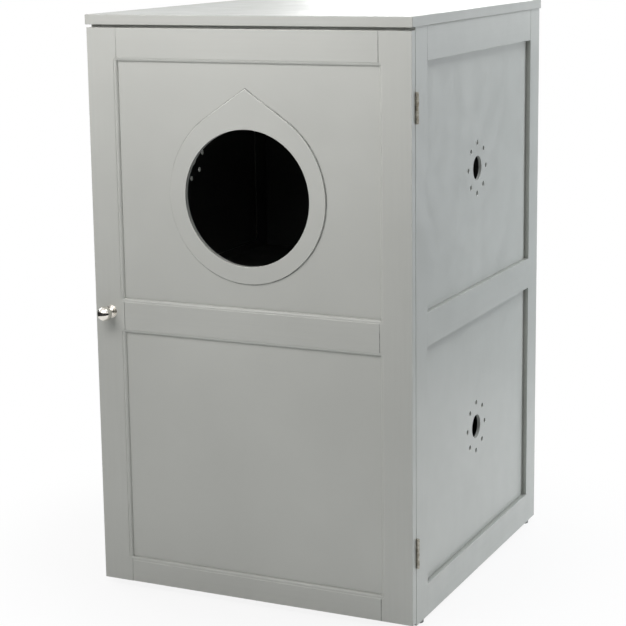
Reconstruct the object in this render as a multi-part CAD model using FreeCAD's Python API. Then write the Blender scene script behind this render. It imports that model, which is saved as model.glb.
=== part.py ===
import FreeCAD, Part
import math
import os

# A tall cat litter box cabinet: a painted carcass of two framed sides under an overlapping top, with one
# full-height framed door on two butt hinges. The cat climbs in by the round hole in the door's upper panel,
# onto a shelf, and down through the shelf's opening to the tray below.
# Millimetres. +X is to the right as seen from the front, +Y to the back and +Z up. The origin lies on the
# floor under the middle of the whole cabinet, counted from the knob's tip to the top's rear edge.

# Overall and top panel
height = 900.0
top_width = 530.0
top_depth = 575.0
top_thick = 15.0
top_arris = 1.0
top_side_overhang = 2.0
top_front_overhang = 1.0
top_rear_overhang = 2.5

# Framed sides
frame_thick = 16.0
side_stile_width = 45.0
side_rail_height = 50.0
side_panel_recess = 8.0

# Panels in their grooves, for the sides and the door alike
panel_thick = 5.0
groove_depth = 8.0
groove_play = 0.2
groove_end_gap = 0.5

# Vents in every side panel: one large hole in a ring of small ones
vent_diameter = 38.0
vent_ring_diameter = 79.0
vent_hole_diameter = 8.0
vent_hole_count = 8

# Door
door_thick = 14.0
door_gap = 1.0
door_top_gap = 4.5
door_bottom_gap = 4.5
door_stile_width = 50.0
door_top_rail_height = 50.0
door_mid_rail_height = 54.0
door_bottom_rail_height = 40.0
door_panel_recess = 6.0

# Routed moulding round both door openings: a square quirk at the face, then an ovolo down to the panel
moulding_width = 5.0
moulding_quirk = 1.0
ovolo_radius = 4.5

# Entrance and its onion-shaped surround
entrance_diameter = 204.0
surround_half_width = 128.0
surround_shoulder_radius = 141.0
surround_apex_height = 161.5
surround_thick = 3.0
surround_edge_round = 1.0

# Knob, turned from one piece, and the machine screw that holds it from behind
knob_projection = 31.0
knob_ball_diameter = 22.5
knob_rose_diameter = 20.0
knob_rose_thick = 1.5
knob_bead_diameter = 16.0
knob_bead_width = 2.4
knob_bead_bulge = 0.8
knob_neck_diameter = 9.0
knob_edge_distance = 27.0
knob_screw_diameter = 4.0
knob_screw_grip = 9.0
knob_screw_head_diameter = 8.0
knob_screw_head_height = 2.4

# Butt hinges
hinge_length = 45.0
hinge_end_distance = 108.0
hinge_barrel_diameter = 4.8
hinge_pin_diameter = 2.4
hinge_knuckles = 5
hinge_leaf_width = 15.5
hinge_leaf_thick = 0.9
hinge_leaf_gap = 0.4
hinge_clearance = 0.3
hinge_screw_pitch = 28.0
mortise_play = 0.2

# Carcass inside
board_thick = 15.0
front_rail_height = 45.0
rear_rail_height = 60.0
shelf_thick = 12.0
shelf_front_setback = 10.0
climb_hole_width = 240.0
climb_hole_depth = 220.0
climb_hole_corner = 60.0
climb_hole_rear_margin = 60.0
climb_hole_side_margin = 50.0
cleat_width = 15.0
cleat_height = 20.0
cleat_front_setback = 30.0
back_thick = 5.0
back_rebate = 8.0

# Cam fittings and dowels
cam_diameter = 15.0
cam_depth = 12.0
cam_setback = 24.0
cam_bolt_diameter = 6.0
cam_bolt_neck_diameter = 3.6
cam_bolt_neck_length = 4.0
cam_bolt_head_length = 2.6
cam_thread_diameter = 5.0
cam_thread_length = 9.0
dowel_diameter = 8.0
dowel_length = 30.0
dowel_seat = 10.0
dowel_ease = 0.8
fitting_pitch = 32.0
fitting_end_distance = 40.0
rail_cam_drop = 30.0
rail_dowel_drop = 11.0

# Wood screws
small_screw_diameter = 3.0
small_screw_head_diameter = 5.8
small_screw_length = 12.0
back_screw_length = 16.0
cleat_screw_diameter = 4.0
cleat_screw_head_diameter = 7.2
cleat_screw_length = 25.0
cleat_screw_count = 3
cleat_screw_end_distance = 50.0
back_side_screw_count = 4
back_screw_end_distance = 60.0

# Magnetic catch on the left side, and its strike plate on the door
catch_above_shelf = 45.0
catch_base_length = 58.0
catch_base_thick = 3.0
catch_depth = 18.0
catch_box_length = 30.0
catch_box_thick = 12.0
catch_wall = 1.5
catch_pole_thick = 1.2
catch_pole_stand_out = 0.5
catch_strike_gap = 0.3
catch_screw_pitch = 44.0
strike_length = 38.0
strike_width = 11.0
strike_thick = 1.2

# Glides
glide_height = 6.0
glide_diameter = 14.0
glide_edge_round = 0.8
glide_edge_distance = 30.0
glide_nail_diameter = 2.2
glide_nail_length = 18.0
glide_nail_seat = 4.0

# Clearances of round things in their holes
fit_play = 0.05
hole_play = 0.2

# Places that follow from the sizes above
overall_depth = top_depth - top_front_overhang + knob_projection
top_back_y = overall_depth / 2
top_front_y = top_back_y - top_depth
door_front_y = top_front_y + top_front_overhang
door_back_y = door_front_y + door_thick
carcass_front_y = door_back_y + door_gap
carcass_back_y = top_back_y - top_rear_overhang
back_panel_front_y = carcass_back_y - back_thick
side_outer_x = top_width / 2 - top_side_overhang
side_inner_x = side_outer_x - frame_thick
side_bottom_z = glide_height
top_bottom_z = height - top_thick
side_height = top_bottom_z - side_bottom_z
side_depth = carcass_back_y - carcass_front_y
side_rails = (side_rail_height, side_rail_height, side_rail_height)
door_width = 2 * side_outer_x
door_bottom_z = side_bottom_z + door_bottom_gap
door_height = top_bottom_z - door_top_gap - door_bottom_z
door_middle_z = door_bottom_z + door_height / 2
door_rails = (door_bottom_rail_height, door_mid_rail_height, door_top_rail_height)
shelf_bottom_z = side_bottom_z + side_height / 2
shelf_top_z = shelf_bottom_z + shelf_thick
front_rail_back_y = carcass_front_y + board_thick
rear_rail_front_y = back_panel_front_y - board_thick
hinge_x = side_outer_x + hinge_barrel_diameter / 2 + hinge_clearance
hinge_y = door_back_y + door_gap / 2
hinge_heights = {
    "upper_hinge": door_bottom_z + door_height - hinge_end_distance,
    "lower_hinge": door_bottom_z + hinge_end_distance,
}
knob_x = -door_width / 2 + knob_edge_distance

vec = FreeCAD.Vector
X = vec(1, 0, 0)
Y = vec(0, 1, 0)
Z = vec(0, 0, 1)


def block(x0, x1, y0, y1, z0, z1):
    """A board given by its six faces."""
    return Part.makeBox(x1 - x0, y1 - y0, z1 - z0, vec(x0, y0, z0))


def rod(radius, start, direction, length):
    """A round bar, or the hole that one would pass through."""
    return Part.makeCylinder(radius, length, start, direction)


def turned(profile):
    """A solid turned about the local X axis, from (distance along it, radius) points."""
    points = [vec(distance, radius, 0) for distance, radius in profile]
    outline = Part.makePolygon(points + [points[0]])
    return Part.Face(outline).revolve(vec(0, 0, 0), X, 360)


def placed(shape, origin, along, up):
    """The shape with its local X axis along one direction and its local Z axis along another."""
    turn = FreeCAD.Rotation(along, up.cross(along), up, "XZY")
    copy = shape.copy()
    copy.Placement = FreeCAD.Placement(origin, turn).multiply(shape.Placement)
    return copy


def mirrored(shape):
    """The same piece on the cabinet's other side."""
    return shape.mirror(vec(0, 0, 0), X)


def spaced(first, last, count):
    """Evenly spaced places, both ends included."""
    return [first + (last - first) * i / (count - 1) for i in range(count)]


# Frame-and-panel work. A frame lies in its own axes: X across it, Z up it and Y from its outer face inwards.


def frame_openings(width, total_height, stile_width, rails):
    """The lower and the upper opening, as (x0, x1, z0, z1). The middle rail leaves them equally high."""
    bottom, middle, top = rails
    opening_height = (total_height - bottom - middle - top) / 2
    x0 = stile_width
    x1 = width - stile_width
    lower_z = bottom
    upper_z = bottom + opening_height + middle
    return (x0, x1, lower_z, lower_z + opening_height), (x0, x1, upper_z, upper_z + opening_height)


def frame_stile(outer_x, edge_x, total_height, thick, recess):
    """An upright, grooved along the edge that faces the openings."""
    inwards = 1 if outer_x > edge_x else -1
    stile = block(min(outer_x, edge_x), max(outer_x, edge_x), 0, thick, 0, total_height)
    floor_x = edge_x + inwards * groove_depth
    groove_back = recess + panel_thick + groove_play
    return stile.cut(block(min(edge_x, floor_x), max(edge_x, floor_x), recess, groove_back, 0, total_height))


def frame_rail(x0, x1, z0, z1, thick, recess, groove_below, groove_above):
    """A rail with stub tongues for the stiles' grooves, and a groove in each edge that meets a panel."""
    low_cut = groove_depth if groove_below else 0
    high_cut = groove_depth if groove_above else 0
    reach = groove_depth - groove_end_gap
    rail = block(x0, x1, 0, thick, z0, z1)
    groove_back = recess + panel_thick + groove_play
    if groove_below:
        rail = rail.cut(block(x0, x1, recess, groove_back, z0, z0 + groove_depth))
    if groove_above:
        rail = rail.cut(block(x0, x1, recess, groove_back, z1 - groove_depth, z1))
    for start, end in ((x0 - reach, x0), (x1, x1 + reach)):
        tongue = block(start, end, recess, recess + panel_thick, z0 + low_cut, z1 - high_cut)
        rail = rail.fuse(tongue)
    return rail.removeSplitter()


def frame_panel(opening, recess):
    """A thin panel that fills an opening and sits in the grooves around it."""
    x0, x1, z0, z1 = opening
    reach = groove_depth - groove_end_gap
    return block(x0 - reach, x1 + reach, recess, recess + panel_thick, z0 - reach, z1 + reach)


def frame_pieces(width, total_height, thick, recess, stile_width, rails):
    """The seven pieces of a frame with two panels, by name, in the frame's own axes."""
    lower, upper = frame_openings(width, total_height, stile_width, rails)
    x0, x1 = lower[:2]
    return {
        "first_stile": frame_stile(0, x0, total_height, thick, recess),
        "last_stile": frame_stile(width, x1, total_height, thick, recess),
        "bottom_rail": frame_rail(x0, x1, 0, lower[2], thick, recess, False, True),
        "mid_rail": frame_rail(x0, x1, lower[3], upper[2], thick, recess, True, True),
        "top_rail": frame_rail(x0, x1, upper[3], total_height, thick, recess, True, False),
        "lower_panel": frame_panel(lower, recess),
        "upper_panel": frame_panel(upper, recess),
    }


def opening_centre(opening):
    x0, x1, z0, z1 = opening
    return (x0 + x1) / 2, (z0 + z1) / 2


# Framed sides


def vent_cutters(opening):
    """The large vent hole and the ring of small ones, centred in an opening."""
    x, z = opening_centre(opening)
    start_y = side_panel_recess
    holes = [rod(vent_diameter / 2, vec(x, start_y, z), Y, panel_thick)]
    ring_radius = vent_ring_diameter / 2
    for i in range(vent_hole_count):
        angle = 2 * math.pi * i / vent_hole_count
        centre = vec(x + ring_radius * math.cos(angle), start_y, z + ring_radius * math.sin(angle))
        holes.append(rod(vent_hole_diameter / 2, centre, Y, panel_thick))
    return holes


def side_frame():
    """The right side's pieces, in place. Its first stile is at the front."""
    size = (side_depth, side_height)
    pieces = frame_pieces(*size, frame_thick, side_panel_recess, side_stile_width, side_rails)
    openings = frame_openings(*size, side_stile_width, side_rails)
    for name, opening in zip(("lower_panel", "upper_panel"), openings):
        pieces[name] = pieces[name].cut(vent_cutters(opening))
    corner = vec(side_outer_x, carcass_front_y, side_bottom_z)
    pieces = {name: placed(piece, corner, Y, Z) for name, piece in pieces.items()}
    rebate_x = side_inner_x + back_rebate
    rebate = block(side_inner_x, rebate_x, back_panel_front_y, carcass_back_y, side_bottom_z, top_bottom_z)
    pieces["last_stile"] = pieces["last_stile"].cut(rebate)
    names = {"first_stile": "front_stile", "last_stile": "rear_stile"}
    return {names.get(name, name): piece for name, piece in pieces.items()}


# Door


def moulding_section(inner_x):
    """What the router takes off, as a face: X counts out from the opening's edge and Y in from the face."""
    foot_y = moulding_quirk + ovolo_radius
    bend = ovolo_radius * (1 - math.sqrt(0.5))
    corners = Part.makePolygon(
        [
            vec(0, foot_y, 0),
            vec(inner_x, foot_y, 0),
            vec(inner_x, -moulding_quirk, 0),
            vec(moulding_width, -moulding_quirk, 0),
            vec(moulding_width, moulding_quirk, 0),
            vec(ovolo_radius, moulding_quirk, 0),
        ]
    )
    ovolo = Part.Arc(
        vec(ovolo_radius, moulding_quirk, 0), vec(bend, moulding_quirk + bend, 0), vec(0, foot_y, 0)
    )
    return Part.Face(Part.Wire(corners.Edges + [ovolo.toShape()]))


def moulding_cutter(opening):
    """The moulding's ring round one opening: four straight runs, and a quarter turn at each corner."""
    x0, x1, z0, z1 = opening
    runs = (
        (vec(x0, 0, z0), -Z, X, x1 - x0),
        (vec(x1, 0, z0), X, Z, z1 - z0),
        (vec(x1, 0, z1), Z, -X, x1 - x0),
        (vec(x0, 0, z1), -X, -Z, z1 - z0),
    )
    pieces = []
    for corner, outwards, along, length in runs:
        turn = FreeCAD.Rotation(outwards, Y, outwards.cross(Y), "XYZ")
        section = moulding_section(-moulding_quirk)
        section.Placement = FreeCAD.Placement(corner, turn)
        pieces.append(section.extrude(along * length))
        end_section = moulding_section(0)
        end_section.Placement = FreeCAD.Placement(corner, turn)
        pieces.append(end_section.revolve(corner, Y, 90))
    return pieces[0].fuse(pieces[1:]).removeSplitter()


def entrance_centre():
    """The hole's centre in the door's axes, which puts the surround in the middle of the upper opening."""
    opening = frame_openings(door_width, door_height, door_stile_width, door_rails)[1]
    x, middle_z = opening_centre(opening)
    surround_height = surround_half_width + surround_apex_height
    return x, middle_z - surround_height / 2 + surround_half_width


def entrance_surround():
    """The flat plate round the hole: half a circle below, wider shoulders above and an ogive point on top."""
    shoulder_x = surround_half_width - surround_shoulder_radius
    reach = math.hypot(shoulder_x, surround_apex_height)
    apex_angle = math.atan2(surround_apex_height, -shoulder_x)
    touch_angle = apex_angle - math.acos(surround_shoulder_radius / reach)
    shoulder = surround_shoulder_radius
    touch = (shoulder_x + shoulder * math.cos(touch_angle), shoulder * math.sin(touch_angle))
    half = touch_angle / 2
    middle = (shoulder_x + shoulder * math.cos(half), shoulder * math.sin(half))
    side = surround_half_width
    edges = [
        Part.Arc(vec(-side, 0, 0), vec(0, 0, -side), vec(side, 0, 0)),
        Part.Arc(vec(side, 0, 0), vec(middle[0], 0, middle[1]), vec(touch[0], 0, touch[1])),
        Part.LineSegment(vec(touch[0], 0, touch[1]), vec(0, 0, surround_apex_height)),
        Part.LineSegment(vec(0, 0, surround_apex_height), vec(-touch[0], 0, touch[1])),
        Part.Arc(vec(-touch[0], 0, touch[1]), vec(-middle[0], 0, middle[1]), vec(-side, 0, 0)),
    ]
    outline = Part.Wire([edge.toShape() for edge in edges])
    plate = Part.Face(outline).extrude(-Y * surround_thick)
    plate = plate.cut(rod(entrance_diameter / 2, vec(0, -surround_thick, 0), Y, surround_thick))
    front_edges = [edge for edge in plate.Edges if edge.BoundBox.YMax < -surround_thick / 2]
    plate = plate.makeFillet(surround_edge_round, front_edges)
    x, z = entrance_centre()
    plate.translate(vec(x, door_panel_recess, z))
    return plate


def door_frame():
    """The door's seven frame pieces and its surround, in place. Its last stile carries the hinges."""
    size = (door_width, door_height)
    pieces = frame_pieces(*size, door_thick, door_panel_recess, door_stile_width, door_rails)
    openings = frame_openings(*size, door_stile_width, door_rails)
    mouldings = [moulding_cutter(opening) for opening in openings]
    for name in ("first_stile", "last_stile", "bottom_rail", "mid_rail", "top_rail"):
        pieces[name] = pieces[name].cut(mouldings)
    x, z = entrance_centre()
    hole = rod(entrance_diameter / 2, vec(x, door_panel_recess, z), Y, panel_thick)
    pieces["upper_panel"] = pieces["upper_panel"].cut(hole)
    pieces["surround"] = entrance_surround()
    corner = vec(-door_width / 2, door_front_y, door_bottom_z)
    names = {"first_stile": "latch_stile", "last_stile": "hinge_stile"}
    return {names.get(name, name): placed(piece, corner, X, Z) for name, piece in pieces.items()}


# Turned fasteners, each along its own X axis from its head or from the joint it crosses


def wood_screw(diameter, head_diameter, length, play=0.0):
    """A countersunk screw. With play it is the hole that takes the screw."""
    shank = diameter / 2 + play
    head = head_diameter / 2 + play
    return turned(((0, 0), (0, head), (head - shank, shank), (length - diameter, shank), (length + play, 0)))


def small_screw(play=0.0):
    return wood_screw(small_screw_diameter, small_screw_head_diameter, small_screw_length, play)


def back_screw(play=0.0):
    return wood_screw(small_screw_diameter, small_screw_head_diameter, back_screw_length, play)


def cleat_screw(play=0.0):
    return wood_screw(cleat_screw_diameter, cleat_screw_head_diameter, cleat_screw_length, play)


def cam_disc(half_board):
    """A cam pressed into a board's face, with the bore that takes the bolt's head."""
    disc = rod(cam_diameter / 2, vec(-cam_setback, 0, half_board - cam_depth), Z, cam_depth)
    bore_start = vec(-cam_setback - cam_bolt_head_length, 0, 0)
    return disc.cut(rod(cam_bolt_diameter / 2 + hole_play, bore_start, X, cam_setback))


def cam_bolt():
    """A bolt screwed into one board, whose head the cam in the other board draws in."""
    head_start = -cam_setback - cam_bolt_head_length / 2
    neck_start = head_start + cam_bolt_head_length
    shank_start = neck_start + cam_bolt_neck_length
    shank = cam_bolt_diameter / 2
    neck = cam_bolt_neck_diameter / 2
    thread = cam_thread_diameter / 2
    return turned(
        (
            (head_start, 0),
            (head_start, shank),
            (neck_start, shank),
            (neck_start, neck),
            (shank_start, neck),
            (shank_start, shank),
            (0, shank),
            (0, thread),
            (cam_thread_length, thread),
            (cam_thread_length, 0),
        )
    )


def cam_cutters(half_board):
    """The cam's bore and the bolt's way to it, and the tapped hole in the other board."""
    pocket_depth = cam_depth + hole_play
    pocket = rod(
        cam_diameter / 2 + hole_play, vec(-cam_setback, 0, half_board - pocket_depth), Z, pocket_depth
    )
    way = rod(cam_bolt_diameter / 2 + hole_play, vec(-cam_setback, 0, 0), X, cam_setback)
    tapped = rod(cam_thread_diameter / 2 + fit_play, vec(0, 0, 0), X, cam_thread_length + hole_play)
    return pocket.fuse(way), tapped


def dowel(play=0.0):
    """A dowel with eased ends, seated deeper in the board whose end it enters."""
    radius = dowel_diameter / 2 + play
    start = dowel_seat - dowel_length - play
    end = dowel_seat + play
    ease = dowel_ease
    return turned(
        (
            (start, 0),
            (start, radius - ease),
            (start + ease, radius),
            (end - ease, radius),
            (end, radius - ease),
            (end, 0),
        )
    )


def joint_list():
    """Every board joint on the right: what holds the cam, what takes the bolt, where, and which way round."""
    front_y = carcass_front_y + side_stile_width + fitting_end_distance
    rear_y = carcass_back_y - side_stile_width - fitting_end_distance
    floor_z = side_bottom_z + board_thick / 2
    side_middle_x = side_outer_x - frame_thick / 2
    half_frame = frame_thick / 2
    half_board = board_thick / 2
    joints = []
    for y, inwards in ((front_y, 1), (rear_y, -1)):
        step = Y * fitting_pitch * inwards
        joints.append(("floor_board", "bottom_rail", vec(side_inner_x, y, floor_z), X, -Z, step, half_board))
        joints.append(("top_rail", "top_panel", vec(side_middle_x, y, top_bottom_z), Z, -X, step, half_frame))
    rails = (
        ("front_top_rail", "front_stile", (carcass_front_y + front_rail_back_y) / 2, Y),
        ("rear_top_rail", "rear_stile", (rear_rail_front_y + back_panel_front_y) / 2, -Y),
    )
    for rail, stile, y, face in rails:
        at = vec(side_inner_x, y, top_bottom_z - rail_cam_drop)
        joints.append((rail, stile, at, X, face, Z * (rail_cam_drop - rail_dowel_drop), half_board))
    return joints


def fit_joints(right_side, boards):
    """Drills the boards on both sides for their cams, bolts and dowels, and returns those."""
    fittings = {"cam_discs": [], "cam_bolts": [], "carcass_dowels": []}
    for holder, taker, at, into, face, step, half_board in joint_list():
        pocket, tapped = (placed(cutter, at, into, face) for cutter in cam_cutters(half_board))
        dowel_hole = placed(dowel(fit_play), at + step, into, face)
        for name, cutters in ((holder, [pocket, dowel_hole]), (taker, [tapped, dowel_hole])):
            if name in right_side:
                right_side[name] = right_side[name].cut(cutters)
            else:
                boards[name] = boards[name].cut(cutters + [mirrored(cutter) for cutter in cutters])
        made = (cam_disc(half_board), cam_bolt(), dowel())
        places = (at, at, at + step)
        for kind, piece, place in zip(fittings, made, places):
            piece = placed(piece, place, into, face)
            fittings[kind] += [piece, mirrored(piece)]
    return fittings


# Carcass


def top_panel():
    """The overlapping top, its arrises eased all round."""
    panel = block(-top_width / 2, top_width / 2, top_front_y, top_back_y, top_bottom_z, height)
    return panel.makeFillet(top_arris, panel.Edges)


def climb_hole():
    """The rounded opening in the shelf, at the back on the right."""
    x1 = side_inner_x - climb_hole_side_margin
    y1 = back_panel_front_y - climb_hole_rear_margin
    hole = block(x1 - climb_hole_width, x1, y1 - climb_hole_depth, y1, shelf_bottom_z, shelf_top_z)
    uprights = [edge for edge in hole.Edges if edge.BoundBox.ZLength > shelf_thick / 2]
    return hole.makeFillet(climb_hole_corner, uprights)


def carcass_boards():
    """The boards between the sides, and the back in its rebates."""
    inner = side_inner_x
    front_y = carcass_front_y
    back_y = back_panel_front_y
    back_x = inner + back_rebate - mortise_play
    front_rail_z = top_bottom_z - front_rail_height
    rear_rail_z = top_bottom_z - rear_rail_height
    shelf = block(-inner, inner, front_y + shelf_front_setback, back_y, shelf_bottom_z, shelf_top_z)
    return {
        "top_panel": top_panel(),
        "floor_board": block(-inner, inner, front_y, back_y, side_bottom_z, side_bottom_z + board_thick),
        "front_top_rail": block(-inner, inner, front_y, front_rail_back_y, front_rail_z, top_bottom_z),
        "rear_top_rail": block(-inner, inner, rear_rail_front_y, back_y, rear_rail_z, top_bottom_z),
        "middle_shelf": shelf.cut(climb_hole()),
        "back_panel": block(-back_x, back_x, back_panel_front_y, carcass_back_y, side_bottom_z, top_bottom_z),
    }


def shelf_cleat():
    """The batten under the shelf's right end, on the side's middle rail."""
    start_y = carcass_front_y + cleat_front_setback
    return block(
        side_inner_x - cleat_width, side_inner_x, start_y, back_panel_front_y, shelf_bottom_z - cleat_height,
        shelf_bottom_z
    )


def cleat_screw_places():
    x = side_inner_x - cleat_width
    z = shelf_bottom_z - cleat_height / 2
    first_y = carcass_front_y + side_stile_width + cleat_screw_end_distance
    last_y = carcass_back_y - side_stile_width - cleat_screw_end_distance
    return [vec(x, y, z) for y in spaced(first_y, last_y, cleat_screw_count)]


def back_screw_places():
    """Screws through the back: up both stiles' rebates, and into the floor board, shelf and rear rail."""
    stile_x = side_inner_x + back_rebate / 2
    first_z = side_bottom_z + back_screw_end_distance
    last_z = top_bottom_z - back_screw_end_distance
    board_x = side_inner_x / 2
    places = [vec(stile_x, carcass_back_y, z) for z in spaced(first_z, last_z, back_side_screw_count)]
    for z in (
        side_bottom_z + board_thick / 2,
        shelf_bottom_z + shelf_thick / 2,
        top_bottom_z - rear_rail_height / 2,
    ):
        places.append(vec(board_x, carcass_back_y, z))
    return places + [vec(-place.x, place.y, place.z) for place in places]


# Hinges


def knuckle_spans(middle_z, first):
    """The heights of every other knuckle, from the lowest or from the one above it."""
    pitch = (hinge_length + hinge_clearance) / hinge_knuckles
    starts = [middle_z - hinge_length / 2 + i * pitch for i in range(first, hinge_knuckles, 2)]
    return [(low_z, low_z + pitch - hinge_clearance) for low_z in starts]


def leaf_plate(middle_z, side, play=0.0):
    """A leaf's flat plate, short of the barrel, on the door's side (-1) or the cabinet's (+1) of the pin."""
    faces_y = (hinge_y + side * hinge_leaf_gap / 2, hinge_y + side * (hinge_leaf_gap / 2 + hinge_leaf_thick))
    half = hinge_length / 2 + play
    free_x = hinge_x - hinge_leaf_width - play
    barrel_side_x = hinge_x - hinge_barrel_diameter / 2 - hinge_clearance
    return block(free_x, barrel_side_x, min(faces_y), max(faces_y), middle_z - half, middle_z + half)


def hinge_leaf(middle_z, side, first):
    """A leaf with its knuckles rolled round the pin."""
    leaf = leaf_plate(middle_z, side)
    plate = leaf.BoundBox
    for low_z, high_z in knuckle_spans(middle_z, first):
        leaf = leaf.fuse(block(plate.XMax, hinge_x, plate.YMin, plate.YMax, low_z, high_z))
        leaf = leaf.fuse(rod(hinge_barrel_diameter / 2, vec(hinge_x, hinge_y, low_z), Z, high_z - low_z))
    bore = rod(hinge_pin_diameter / 2 + fit_play, vec(hinge_x, hinge_y, plate.ZMin), Z, hinge_length)
    return leaf.cut(bore).removeSplitter()


def hinge_pin(middle_z):
    return rod(hinge_pin_diameter / 2, vec(hinge_x, hinge_y, middle_z - hinge_length / 2), Z, hinge_length)


def leaf_screw_places(middle_z, side):
    x = side_outer_x - (side_outer_x - hinge_x + hinge_leaf_width) / 2
    y = hinge_y + side * hinge_leaf_gap / 2
    return [vec(x, y, middle_z + offset) for offset in (-hinge_screw_pitch / 2, hinge_screw_pitch / 2)]


def add_hinges(pieces):
    """Both hinges: leaves let into the door's back and the right side's front edge, pins and screws."""
    door_screws = []
    side_screws = []
    for name, middle_z in hinge_heights.items():
        for owner, side, first, screws in (
            ("door_hinge_stile", -1, 1, door_screws),
            ("right_front_stile", 1, 0, side_screws),
        ):
            drive = Y * side
            places = leaf_screw_places(middle_z, side)
            holes = [placed(small_screw(fit_play), place, drive, Z) for place in places]
            leaf = hinge_leaf(middle_z, side, first).cut(holes)
            pieces[f"{name}_{owner.split('_')[0].replace('right', 'side')}_leaf"] = leaf
            pieces[owner] = pieces[owner].cut([leaf_plate(middle_z, side, mortise_play)] + holes)
            screws += [placed(small_screw(), place, drive, Z) for place in places]
        pieces[f"{name}_pin"] = hinge_pin(middle_z)
    pieces["hinge_door_screws"] = Part.makeCompound(door_screws)
    pieces["hinge_side_screws"] = Part.makeCompound(side_screws)


# Knob


def knob():
    """A ball knob with a stepped rose and one bead, turned about the axis that points out of the door."""
    ball = knob_ball_diameter / 2
    centre = knob_projection - ball
    neck = knob_neck_diameter / 2
    rose = knob_rose_diameter / 2
    bead = knob_bead_diameter / 2
    bead_end = knob_rose_thick + knob_bead_width
    ball_start = centre - math.sqrt(ball * ball - neck * neck)
    hole = knob_screw_diameter / 2 + fit_play
    hole_end = knob_screw_grip + hole_play
    outline = [
        Part.makePolygon(
            [
                vec(hole_end, 0, 0),
                vec(hole_end, hole, 0),
                vec(0, hole, 0),
                vec(0, rose, 0),
                vec(knob_rose_thick, rose, 0),
                vec(knob_rose_thick, bead, 0),
            ]
        ),
        Part.Arc(
            vec(knob_rose_thick, bead, 0),
            vec(knob_rose_thick + knob_bead_width / 2, bead + knob_bead_bulge, 0),
            vec(bead_end, bead, 0),
        ).toShape(),
        Part.makePolygon([vec(bead_end, bead, 0), vec(bead_end, neck, 0), vec(ball_start, neck, 0)]),
        Part.Arc(
            vec(ball_start, neck, 0), vec(centre, ball, 0), vec(knob_projection, 0, 0)
        ).toShape(),
        Part.makeLine(vec(knob_projection, 0, 0), vec(hole_end, 0, 0)),
    ]
    edges = [edge for part in outline for edge in part.Edges]
    body = Part.Face(Part.Wire(Part.__sortEdges__(edges))).revolve(vec(0, 0, 0), X, 360)
    return placed(body, vec(knob_x, door_front_y, door_middle_z), -Y, Z)


def knob_screw(play=0.0):
    """The machine screw, from the back of the door into the knob."""
    shank = knob_screw_diameter / 2 + play
    head = knob_screw_head_diameter / 2
    end = door_thick + knob_screw_grip
    profile = (
        (-knob_screw_head_height, 0),
        (-knob_screw_head_height, head),
        (0, head),
        (0, shank),
        (end, shank),
        (end, 0),
    )
    return placed(turned(profile), vec(knob_x, door_back_y, door_middle_z), -Y, Z)


# Magnetic catch


def catch_pieces():
    """The housing, magnet, pole plates and strike plate of the catch, and the places of their screws."""
    middle_z = shelf_top_z + catch_above_shelf
    wall_x = -side_inner_x
    pole_y = door_back_y + strike_thick + catch_strike_gap
    front_y = pole_y + catch_pole_stand_out
    back_y = front_y + catch_depth
    half_box = catch_box_length / 2
    box_x = wall_x + catch_box_thick
    half_base = catch_base_length / 2
    base_x = wall_x + catch_base_thick
    base = block(wall_x, base_x, front_y, back_y, middle_z - half_base, middle_z + half_base)
    box = block(wall_x, box_x, front_y, back_y, middle_z - half_box, middle_z + half_box)
    core_x0 = base_x
    core_x1 = box_x - catch_wall
    core_z = half_box - catch_wall
    core_back_y = back_y - catch_wall
    core = block(core_x0, core_x1, front_y, core_back_y, middle_z - core_z, middle_z + core_z)
    magnet = block(
        core_x0 + catch_pole_thick, core_x1 - catch_pole_thick, front_y, core_back_y, middle_z - core_z,
        middle_z + core_z
    )
    poles = [
        block(x, x + catch_pole_thick, pole_y, core_back_y, middle_z - core_z, middle_z + core_z)
        for x in (core_x0, core_x1 - catch_pole_thick)
    ]
    screw_y = (front_y + back_y) / 2
    half_pitch = catch_screw_pitch / 2
    screw_places = [vec(base_x, screw_y, middle_z + offset) for offset in (-half_pitch, half_pitch)]
    strike_middle_x = (core_x0 + core_x1) / 2
    strike = block(
        strike_middle_x - strike_width / 2, strike_middle_x + strike_width / 2, door_back_y,
        door_back_y + strike_thick, middle_z - strike_length / 2, middle_z + strike_length / 2
    )
    strike_screw_place = vec(strike_middle_x, door_back_y + strike_thick, middle_z)
    return base.fuse(box).cut(core).removeSplitter(), magnet, poles, screw_places, strike, strike_screw_place


def add_catch(pieces):
    """The catch on the left front stile, and its strike plate on the door's latch stile."""
    housing, magnet, poles, screw_places, strike, strike_screw_place = catch_pieces()
    holes = [placed(small_screw(fit_play), place, -X, Z) for place in screw_places]
    strike_hole = placed(small_screw(fit_play), strike_screw_place, -Y, Z)
    pieces["catch_housing"] = housing.cut(holes)
    pieces["catch_magnet"] = magnet
    pieces["catch_pole_plates"] = Part.makeCompound(poles)
    screws = [placed(small_screw(), place, -X, Z) for place in screw_places]
    pieces["catch_screws"] = Part.makeCompound(screws)
    pieces["left_front_stile"] = pieces["left_front_stile"].cut(holes)
    pieces["strike_plate"] = strike.cut(strike_hole)
    pieces["strike_screw"] = placed(small_screw(), strike_screw_place, -Y, Z)
    pieces["door_latch_stile"] = pieces["door_latch_stile"].cut(strike_hole)


# Glides


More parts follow.
